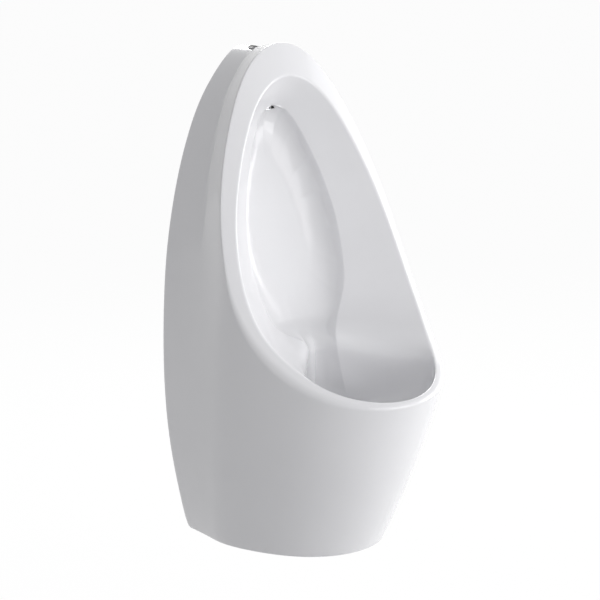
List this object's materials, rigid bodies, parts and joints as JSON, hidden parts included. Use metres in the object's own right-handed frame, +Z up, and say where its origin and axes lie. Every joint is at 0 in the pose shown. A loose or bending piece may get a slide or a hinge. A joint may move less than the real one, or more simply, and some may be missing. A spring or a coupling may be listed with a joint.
{
  "type": "wall hung urinal",
  "caption": "Glazed white wall hung urinal with an egg-shaped opening, a raised rim, an arched niche, a top inlet and a concealed trap with a horizontal outlet",
  "frame": {"origin": "centre of the outlet pipe's end on the wall plane", "axes": "+X to the right seen from the front, +Y into the wall, +Z up"},
  "size_m": [0.3548, 0.3356, 0.7],
  "materials": {
    "china": "gloss",
    "black_rubber": "matt",
    "chrome": "polished",
    "brass": "satin",
    "stainless": "satin",
    "trap_plastic": "satin",
    "pipe_plastic": "satin",
    "zinc_steel": "zinc plated",
    "nylon": "satin"
  },
  "bodies": {
    "urinal": {"china_body": "china", "inlet_seal": "black_rubber", "flush_tube": "chrome", "spreader": "chrome", "spreader_gasket": "black_rubber", "spreader_washer": "black_rubber", "spreader_nut": "brass", "collar_gasket": "black_rubber", "waste_collar": "stainless", "insert_seal": "black_rubber", "body_gasket": "black_rubber", "trap_cup": "trap_plastic", "cleaning_plug": "trap_plastic", "plug_seal": "black_rubber", "outlet_nut": "trap_plastic", "outlet_seal": "black_rubber", "outlet_pipe": "pipe_plastic", "hanger_left": "zinc_steel", "hanger_right": "zinc_steel", "hanger_pads": "black_rubber", "lower_sleeves": "nylon"},
    "dip_tube": {"trap_insert": "trap_plastic"},
    "loose_strainer": {"strainer": "stainless"}
  },
  "joints": [
    {"name": "insert_lift", "type": "slide", "parent": "urinal", "child": "dip_tube", "axis": [0, 0, 1], "range_m": [0, 0.125]},
    {"name": "strainer_lift", "type": "slide", "parent": "dip_tube", "child": "loose_strainer", "axis": [0, 0, 1], "range_m": [0, 0.05]}
  ]
}
